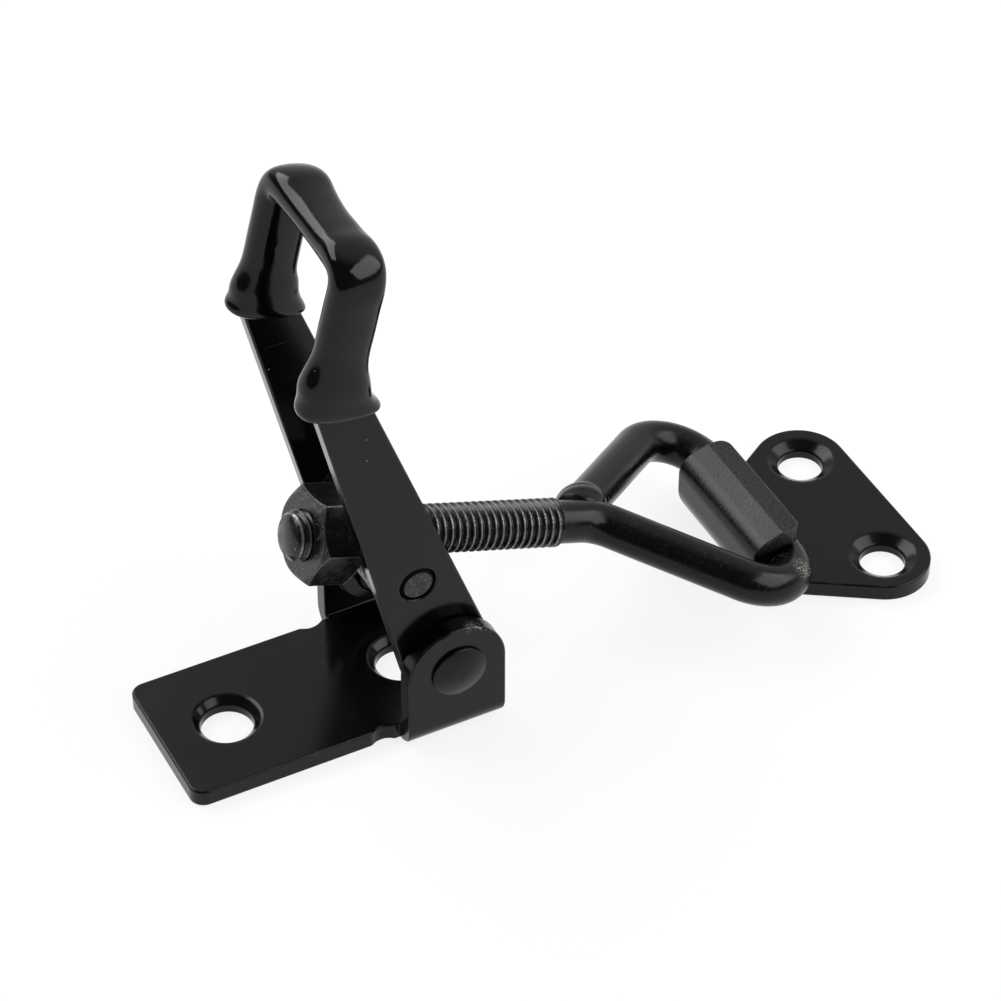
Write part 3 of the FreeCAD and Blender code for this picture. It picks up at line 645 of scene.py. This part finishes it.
def glossed_wire(name, look):
    """Enamel over drawn steel wire: glossier than on the sheet and mottled where the bends stretched the
    coat, with bare bright flecks where the loop rubs in the hook."""
    material, tree, where = new_material(name)
    mottle = add(
        tree, "ShaderNodeTexNoise", {"Vector": where, "Scale": per(0.5), "Detail": 4.0, "Roughness": 0.6}
    )
    peel = add(tree, "ShaderNodeTexNoise", {"Vector": where, "Scale": per(0.8), "Detail": 2.0})
    clouds = add(tree, "ShaderNodeTexNoise", {"Vector": where, "Scale": per(5), "Detail": 2.0})
    scuffs = add(
        tree, "ShaderNodeTexNoise", {"Vector": where, "Scale": per(0.25), "Detail": 4.0, "Roughness": 0.7}
    )
    fleck = add(tree, "ShaderNodeMapRange", {"Value": scuffs.outputs[0], "From Min": 0.5, "From Max": 0.62})
    rub_at = on_bolt(CROSSBAR_AT / MM - RUB_BEFORE_BAR, -look.rub_across_mm, RUB_ABOVE) / MM
    bare = worn_spots(tree, where, [(*(float(v) for v in rub_at), RUB_REACH)], fleck.outputs[0])
    dull = add(
        tree,
        "ShaderNodeMapRange",
        {"Value": mottle.outputs[0], "From Min": 0.56, "From Max": 0.7, "To Max": 0.5},
    )
    colour = tuple(look.coat_colour) + (1,)
    for amount, code in ((dull.outputs[0], "232324"), (bare, "aaa79f")):
        mixed = add(tree, "ShaderNodeMix", {0: amount, 6: colour, 7: srgb(code)}, data_type="RGBA")
        colour = mixed.outputs[2]
    rough = add(
        tree,
        "ShaderNodeMapRange",
        {
            "Value": clouds.outputs[0],
            "From Min": 0.35,
            "From Max": 0.65,
            "To Min": look.wire_roughness - 0.03,
            "To Max": look.wire_roughness + 0.08,
        },
    )
    rough = add(
        tree, "ShaderNodeMath", {0: dull.outputs[0], 1: 0.2, 2: rough.outputs[0]}, operation="MULTIPLY_ADD"
    )
    skin = add(tree, "ShaderNodeBump", {"Strength": 0.4, "Distance": 0.02 * MM, "Height": peel.outputs[0]})
    skin = add(
        tree,
        "ShaderNodeBump",
        {
            "Strength": 0.5,
            "Distance": 0.025 * MM,
            "Height": mottle.outputs[0],
            "Normal": skin.outputs[0],
        },
    )
    shader = add(
        tree,
        "ShaderNodeBsdfPrincipled",
        {
            "Base Color": colour,
            "Metallic": bare,
            "Roughness": rough.outputs[0],
            "Normal": skin.outputs[0],
            "IOR": look.coat_ior,
        },
    )
    add(tree, "ShaderNodeOutputMaterial", {"Surface": shader.outputs[0]})
    return material


# Settings


class LatchFinish(bpy.types.PropertyGroup):
    """Colours and gloss of the latch's finishes."""

    coat_colour: bpy.props.FloatVectorProperty(
        name="Enamel",
        description="Colour of the black enamel",
        size=3,
        subtype="COLOR",
        default=srgb("060609")[:3],
    )
    coat_roughness: bpy.props.FloatProperty(
        name="Enamel roughness",
        description="Higher is duller",
        subtype="FACTOR",
        default=0.17,
        min=0,
        max=1,
    )
    coat_ior: bpy.props.FloatProperty(
        name="Enamel refraction",
        description="Index of refraction of the enamel",
        default=1.32,
        min=1,
        max=2,
    )
    wire_roughness: bpy.props.FloatProperty(
        name="Wire roughness",
        description="Gloss of the coat on the wire",
        subtype="FACTOR",
        default=0.2,
    )
    rub_across_mm: bpy.props.FloatProperty(
        name="Rubbed spot",
        description="Millimetres from the middle to the bare spot on the loop",
        default=14.2,
    )
    vinyl_colour: bpy.props.FloatVectorProperty(
        name="Vinyl",
        description="Colour of the dipped grip",
        size=3,
        subtype="COLOR",
        default=srgb("050506")[:3],
    )
    vinyl_roughness: bpy.props.FloatProperty(
        name="Vinyl roughness",
        description="Higher is duller",
        subtype="FACTOR",
        default=0.1,
    )
    vinyl_ior: bpy.props.FloatProperty(
        name="Vinyl refraction",
        description="Index of refraction of the vinyl",
        default=1.34,
        min=1,
        max=2,
    )
    oxide_colour: bpy.props.FloatVectorProperty(
        name="Oxide",
        description="Colour of blackened steel",
        size=3,
        subtype="COLOR",
        default=srgb("101011")[:3],
    )
    oxide_ior: bpy.props.FloatProperty(
        name="Oxide refraction",
        description="Index of refraction of the oiled oxide",
        default=1.42,
        min=1,
        max=2,
    )
    edge_round_mm: bpy.props.FloatProperty(
        name="Edge rounding",
        description="Millimetres that paint rounds a punched edge",
        default=0.3,
        min=0,
    )


class LatchBolt(bpy.types.PropertyGroup):
    """Sizes of the hook bolt's thread, wire and weld, in millimetres."""

    crest_r: bpy.props.FloatProperty(
        name="Crest radius", description="Outer radius of the thread", default=2.97
    )
    pitch: bpy.props.FloatProperty(
        name="Pitch", description="Advance of the thread in one turn", default=1.0
    )
    depth: bpy.props.FloatProperty(name="Thread depth", description="From crest to root", default=0.52)
    tail: bpy.props.FloatProperty(
        name="Tail", description="Length of thread behind the trunnion's axis", default=12.1
    )
    thread_end: bpy.props.FloatProperty(
        name="Thread end", description="Length of thread before the trunnion's axis", default=24.1
    )
    end_chamfer: bpy.props.FloatProperty(name="End chamfer", description="Bevel on the tail", default=0.6)
    wire_r: bpy.props.FloatProperty(name="Wire radius", description="Radius of the plain wire", default=2.61)
    bend_at: bpy.props.FloatProperty(
        name="First bend", description="Where the wire leaves the axis", default=30.1
    )
    half_width: bpy.props.FloatProperty(
        name="Loop half width",
        description="From the axis to where the lines of leg and crossbar meet",
        default=20.945,
    )
    corner_r: bpy.props.FloatProperty(
        name="Corner radius", description="Of the loop's two corners", default=5.32
    )
    bend_r: bpy.props.FloatProperty(name="Bend radius", description="Of the first bend", default=5.92)
    weld_start: bpy.props.FloatProperty(
        name="Weld start", description="Where the welded leg meets the axis", default=26.2
    )
    leg_gap: bpy.props.FloatProperty(
        name="Leg gap", description="From the axis to the end of the welded leg", default=1.6
    )
    bead_at: bpy.props.FloatProperty(
        name="Bead place", description="From the axis to the weld bead", default=2.7
    )
    bead_half: bpy.props.FloatProperty(name="Bead half length", description="Along the leg", default=2.1)
    bead_proud: bpy.props.FloatProperty(
        name="Bead height", description="Of the weld bead over the wire", default=0.42
    )


class LatchStage(bpy.types.PropertyGroup):
    """Camera, light and floor."""

    lens: bpy.props.FloatProperty(
        name="Lens", description="Focal length", default=134.87, subtype="DISTANCE_CAMERA"
    )
    floor_colour: bpy.props.FloatVectorProperty(
        name="Floor",
        description="Colour of the floor",
        size=3,
        subtype="COLOR",
        default=srgb("f4f4f4")[:3],
    )
    front_level: bpy.props.FloatProperty(
        name="Front softbox",
        description="Level of the softbox on the right in front",
        default=3.4,
        min=0,
    )
    back_level: bpy.props.FloatProperty(
        name="Back softbox", description="Level of the softbox behind", default=4.6, min=0
    )
    lit_wall: bpy.props.FloatProperty(
        name="Lit wall", description="Level of the wall behind on the right", default=0.76, min=0
    )
    dim_wall: bpy.props.FloatProperty(
        name="Dim wall", description="Level of the other walls", default=0.12, min=0
    )


# Pieces


class LATCH_OT_sheet_parts(bpy.types.Operator):
    """Finish the base bracket, handle and rivets"""

    bl_idname = "latch.sheet_parts"
    bl_label = "Sheet parts"

    def execute(self, context):
        look = context.scene.latch_finish
        nodes = frame["nodes"]
        for node, slot in (("base_bracket", "base_finish"), ("handle", "handle_finish")):
            spots = EAR_WEAR if node == "base_bracket" else ()
            paint(nodes[node], stoved_enamel("stoved_enamel_" + node, look, spots=spots))
        for node in ("near_pivot_rivet", "far_pivot_rivet"):
            paint(nodes[node], stoved_enamel("stoved_enamel_" + node, look, matte=0.06))
        return {"FINISHED"}


class LATCH_OT_catch_plate(bpy.types.Operator):
    """Finish the catch plate"""

    bl_idname = "latch.catch_plate"
    bl_label = "Catch plate"

    def execute(self, context):
        node = frame["nodes"]["catch_plate"]
        look = context.scene.latch_finish
        paint(node, stoved_enamel("stoved_enamel_catch_plate", look, dull_above_mm=HOOK_DULL_ABOVE))
        return {"FINISHED"}


class LATCH_OT_grip(bpy.types.Operator):
    """Finish the dipped grip"""

    bl_idname = "latch.grip"
    bl_label = "Grip"

    def execute(self, context):
        node = frame["nodes"]["grip_sleeve"]
        paint(node, dipped_vinyl("dipped_vinyl_grip", context.scene.latch_finish))
        return {"FINISHED"}


class LATCH_OT_nut_and_trunnion(bpy.types.Operator):
    """Finish the nut and the trunnion"""

    bl_idname = "latch.nut_and_trunnion"
    bl_label = "Nut and trunnion"

    def execute(self, context):
        look = context.scene.latch_finish
        nodes = frame["nodes"]
        nut_steel = blackened_steel(
            "blackened_steel_nut",
            look,
            grain_mm=0.28,
            amount=0.9,
            rough=0.2,
            spread=0.05,
            smooth_sides=True,
        )
        paint(nodes["adjusting_nut"], nut_steel)
        half_mm = max(abs(v.co.y) for v in nodes["trunnion"].data.vertices) / MM
        trunnion_steel = blackened_steel(
            "blackened_steel_trunnion",
            look,
            grain_mm=0.2,
            amount=1.2,
            rough=0.32,
            spread=0.13,
            # The pins' rims get a black ring of painted shade, for the gap round them.
            shaded_gap=(GAP_SHADE_RIM, half_mm - GAP_SHADE_LENGTH),
        )
        paint(nodes["trunnion"], trunnion_steel)
        return {"FINISHED"}


class LATCH_OT_hook_bolt(bpy.types.Operator):
    """Build the hook bolt's thread, loop and weld bead in place of the plain solid"""

    bl_idname = "latch.hook_bolt"
    bl_label = "Hook bolt"

    def execute(self, context):
        size = context.scene.latch_bolt
        look = context.scene.latch_finish
        thread = self.thread(size)
        loop = self.loop(size)
        bead = self.bead(size)
        thread_steel = blackened_steel(
            "blackened_steel_thread",
            look,
            grain_mm=0.3,
            amount=0.15,
            rough=0.24,
            spread=0.06,
            worn="9a9894",
            pits_mm=0.02,
            crest="crest",
        )
        paint(thread, thread_steel)
        wire = glossed_wire("glossed_wire", look)
        paint(loop, wire)
        paint(bead, wire)
        for piece in (thread, loop, bead):
            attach(piece, "bolt")
            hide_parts("hook_bolt")
        return {"FINISHED"}

    def thread(self, size):
        """Helical surface: at angle a and height s along the bolt the radius is the crest's less the depth
        times f, where f is 0 on the crest and 1 in the root of the wave frac(s / pitch - a / turn). Each row
        runs once round along the helix, and s is held between the ends. The crest attribute is 1 on the
        crest and falls to 0 down the flanks."""
        cols = 72
        steps = 12
        turns = int((size.tail + size.thread_end) / size.pitch) + 2
        rows = np.arange(-steps, turns * steps + 1) / steps
        angles = np.arange(cols + 1) / cols
        s = -size.tail + (rows[:, None] + angles[None, :]) * size.pitch
        phase = np.broadcast_to(rows[:, None] % 1.0, s.shape)
        wave = np.abs(phase - 0.5) * 2
        groove = np.clip((CREST_FROM - wave) / FLANK, 0, 1)
        groove = groove * (1 - ROOT_EASE * groove)
        s = np.clip(s, -size.tail, size.thread_end)
        fade = np.clip((size.thread_end - s) / RUN_OUT, 0, 1)
        radius = size.crest_r - size.depth * groove * fade
        chamfered = size.crest_r - size.end_chamfer + (s + size.tail)
        radius = np.minimum(radius, chamfered)
        crest = np.clip(1 - groove * CREST_FADE, 0, 1)

        turn = 2 * np.pi * angles[None, :, None]
        side = np.cos(turn) * ACROSS + np.sin(turn) * ABOVE
        points = (TRUNNION + MM * (s[..., None] * ALONG + radius[..., None] * side)).reshape(-1, 3)
        width = cols + 1
        here = np.arange(cols)
        last = (len(rows) - 1) * width
        faces = grid_faces(len(rows), cols, width)
        faces += fan_faces(here + 1, here, len(points))
        faces += fan_faces(last + here, last + here + 1, len(points) + 1)
        points = np.vstack([points, on_bolt(-size.tail - TAIL_BULGE), on_bolt(size.thread_end)])
        mesh = bpy.data.meshes.new("bolt_thread")
        mesh.from_pydata(points.tolist(), [], faces)
        values = np.append(crest.reshape(-1), [0.0, 0.0]).astype(np.float32)
        mesh.attributes.new("crest", "FLOAT", "POINT").data.foreach_set("value", values)
        merge(mesh)
        return smooth_object("bolt_thread", mesh)

    def loop(self, size):
        """Tube of the wire's radius round the loop's path: from inside the thread's end to the first bend,
        down the near leg, along the crossbar, and back up the far leg to the weld."""
        near = on_bolt(CROSSBAR_AT / MM, -size.half_width)
        far = on_bolt(CROSSBAR_AT / MM, size.half_width)
        end = self.on_leg(size, size.leg_gap)[1]
        corners = [on_bolt(size.thread_end - 0.6), on_bolt(size.bend_at), near, far, end]
        radii = [size.bend_r * MM, size.corner_r * MM, size.corner_r * MM]
        path = rounded_path(corners, radii, 0.35 * MM)
        return surface_object("loop_wire", tube(path, size.wire_r * MM))

    def bead(self, size):
        """Collar of weld round the leg. At angle a and height h along the leg its radius is the wire's plus
        the bead's height times (1 - (h / l)^2) times 1 + 0.3 sin(2 a + 1) + 0.1 sin(5 a + 3 h), with l the
        bead's half length. It starts 0.05 mm inside the wire."""
        leg, centre = self.on_leg(size, size.bead_at)
        first = unit(np.cross(leg, ABOVE))
        a = np.linspace(0, 2 * np.pi, 96, endpoint=False)[None, :]
        h = np.linspace(-1, 1, 25)[:, None] * size.bead_half
        wave = 1 + 0.3 * np.sin(2 * a + 1.0) + 0.1 * np.sin(5 * a + 3 * h)
        radius = size.wire_r - 0.05 + size.bead_proud * (1 - (h / size.bead_half) ** 2) * wave
        direction = np.cos(a)[..., None] * first + np.sin(a)[..., None] * ABOVE
        surface = centre + MM * (radius[..., None] * direction + h[..., None] * leg)
        return surface_object("weld_bead", surface)

    def on_leg(self, size, from_axis):
        """Direction of the welded leg, from the bolt's axis to the loop's far corner, and the point on it
        at from_axis millimetres off the axis."""
        start = on_bolt(size.weld_start)
        leg = unit(on_bolt(CROSSBAR_AT / MM, size.half_width) - start)
        tilt = np.arccos(leg @ ALONG)
        return leg, start + leg * MM * from_axis / np.sin(tilt)


class LATCH_OT_stage(bpy.types.Operator):
    """Set the camera, the soft light and the floor"""

    bl_idname = "latch.stage"
    bl_label = "Stage"

    def execute(self, context):
        scene = context.scene
        stage = scene.latch_stage
        camera = placed("camera", bpy.data.cameras.new("camera"))
        camera.data.sensor_width = 36.0
        camera.data.lens = stage.lens
        camera.data.clip_start = 0.05
        camera.data.clip_end = 20.0
        axes = Matrix((CAMERA_RIGHT, CAMERA_UP, CAMERA_BACK))
        place = axes.transposed().to_4x4()
        place.translation = Vector(CAMERA_PLACE) * MM
        camera.matrix_world = place
        scene.camera = camera
        scene.view_settings.view_transform = "Standard"

        self.floor(stage)
        self.world(scene, stage)
        self.lamp("front_softbox", *FRONT_SOFTBOX, stage.front_level)
        self.lamp("back_softbox", *BACK_SOFTBOX, stage.back_level)
        return {"FINISHED"}

    def lamp(self, name, azimuth, elevation, size, level):
        """Rectangular softbox turned to the aim, at the azimuth and elevation from it. Level is its
        radiance, so its power is level . pi . area."""
        a, e = np.radians((azimuth, elevation))
        towards = np.array([np.cos(e) * np.cos(a), np.cos(e) * np.sin(a), np.sin(e)])
        data = bpy.data.lights.new(name, "AREA")
        data.shape = "RECTANGLE"
        data.size, data.size_y = size
        data.energy = level * np.pi * size[0] * size[1]
        obj = placed(name, data)
        obj.location = LAMP_AIM + LAMP_DISTANCE * towards
        obj.rotation_euler = Vector(-towards).to_track_quat("-Z", "Y").to_euler()

    def floor(self, stage):
        """A flat disc just under the latch: point = radius (cos a, sin a)."""
        a = np.linspace(0, 2 * np.pi, FLOOR_COLS, endpoint=False)
        rim = np.stack([np.cos(a), np.sin(a), np.zeros_like(a)], axis=-1)
        points = np.vstack([rim * FLOOR_INNER, rim * FLOOR_OUTER, [[0, 0, 0]]])
        points[:, 2] = FLOOR_HEIGHT
        here = np.arange(FLOOR_COLS)
        after = (here + 1) % FLOOR_COLS
        faces = np.stack([here, FLOOR_COLS + here, FLOOR_COLS + after, after], axis=-1).tolist()
        faces += fan_faces(here, after, 2 * FLOOR_COLS)
        mesh = bpy.data.meshes.new("floor")
        mesh.from_pydata(points.tolist(), [], faces)
        obj = placed("floor", mesh)

        # Card under the latch: white to the eye and in reflections, and it keeps the shadow.
        material, tree, where = new_material("matte_white_board")
        grain = add(tree, "ShaderNodeTexNoise", {"Vector": where, "Scale": per(2.5), "Detail": 2.0})
        tone = add(
            tree,
            "ShaderNodeMix",
            {0: grain.outputs[0], 6: tuple(stage.floor_colour) + (1,), 7: srgb("f2f2f3")},
            data_type="RGBA",
        )
        card = add(
            tree,
            "ShaderNodeBsdfPrincipled",
            {"Base Color": tone.outputs[2], "Roughness": 0.9, "IOR": 1.3},
        )
        white = add(tree, "ShaderNodeEmission", {"Color": (1, 1, 1, 1), "Strength": 1.0})
        path = add(tree, "ShaderNodeLightPath")
        seen = path.outputs["Is Camera Ray"]
        for ray in ("Is Glossy Ray", "Is Transmission Ray"):
            either = add(tree, "ShaderNodeMath", {0: seen, 1: path.outputs[ray]}, operation="MAXIMUM")
            seen = either.outputs[0]
        share = add(tree, "ShaderNodeMath", {0: seen, 1: FLOOR_WHITE_SHARE}, operation="MULTIPLY")
        both = add(
            tree, "ShaderNodeMixShader", {0: share.outputs[0], 1: card.outputs[0], 2: white.outputs[0]}
        )
        add(tree, "ShaderNodeOutputMaterial", {"Surface": both.outputs[0]})
        paint(obj, material)

    def world(self, scene, stage):
        """Dim studio walls, brighter behind the latch on the right, and white where the camera sees them."""
        world = bpy.data.worlds.new("studio")
        scene.world = world
        world.use_nodes = True
        tree = world.node_tree
        tree.nodes.clear()
        where = add(tree, "ShaderNodeTexCoord").outputs["Generated"]
        towards = add(tree, "ShaderNodeVectorMath", {0: where, 1: LIT_TOWARDS}, operation="DOT_PRODUCT")
        wall = add(
            tree,
            "ShaderNodeMapRange",
            {
                "Value": towards.outputs["Value"],
                "From Min": WALL_DIM_AT,
                "From Max": WALL_LIT_AT,
                "To Min": stage.dim_wall,
                "To Max": stage.lit_wall,
            },
            interpolation_type="SMOOTHSTEP",
        )
        path = add(tree, "ShaderNodeLightPath")
        level = add(
            tree,
            "ShaderNodeMix",
            {0: path.outputs["Is Camera Ray"], 2: wall.outputs[0], 3: 1.0},
            data_type="FLOAT",
        )
        glow = add(tree, "ShaderNodeBackground", {"Color": (1, 1, 1, 1), "Strength": level.outputs[0]})
        add(tree, "ShaderNodeOutputWorld", {"Surface": glow.outputs[0]})


class LATCH_PT_panel(bpy.types.Panel):
    """Lists the latch's pieces and settings in the sidebar"""

    bl_idname = "LATCH_PT_panel"
    bl_label = "Toggle latch"
    bl_space_type = "VIEW_3D"
    bl_region_type = "UI"
    bl_category = "Latch"

    def draw(self, context):
        scene = context.scene
        for group in (scene.latch_finish, scene.latch_bolt, scene.latch_stage):
            box = self.layout.box()
            for name in group.__annotations__:
                box.prop(group, name)
        for operator in OPERATORS:
            self.layout.operator(operator.bl_idname)


OPERATORS = (
    LATCH_OT_stage,
    LATCH_OT_sheet_parts,
    LATCH_OT_catch_plate,
    LATCH_OT_grip,
    LATCH_OT_nut_and_trunnion,
    LATCH_OT_hook_bolt,
)
CLASSES = (LatchFinish, LatchBolt, LatchStage) + OPERATORS + (LATCH_PT_panel,)


def register():
    """Adds the classes and the settings of the scene."""
    for cls in CLASSES:
        bpy.utils.register_class(cls)
    bpy.types.Scene.latch_finish = bpy.props.PointerProperty(type=LatchFinish)
    bpy.types.Scene.latch_bolt = bpy.props.PointerProperty(type=LatchBolt)
    bpy.types.Scene.latch_stage = bpy.props.PointerProperty(type=LatchStage)


def unregister():
    """Takes them away again."""
    del bpy.types.Scene.latch_stage
    del bpy.types.Scene.latch_bolt
    del bpy.types.Scene.latch_finish
    for cls in reversed(CLASSES):
        bpy.utils.unregister_class(cls)


def main():
    register()
    bpy.ops.latch.stage()
    bpy.ops.latch.sheet_parts()
    bpy.ops.latch.catch_plate()
    bpy.ops.latch.grip()
    bpy.ops.latch.nut_and_trunnion()
    bpy.ops.latch.hook_bolt()


if __name__ == "__main__":
    main()
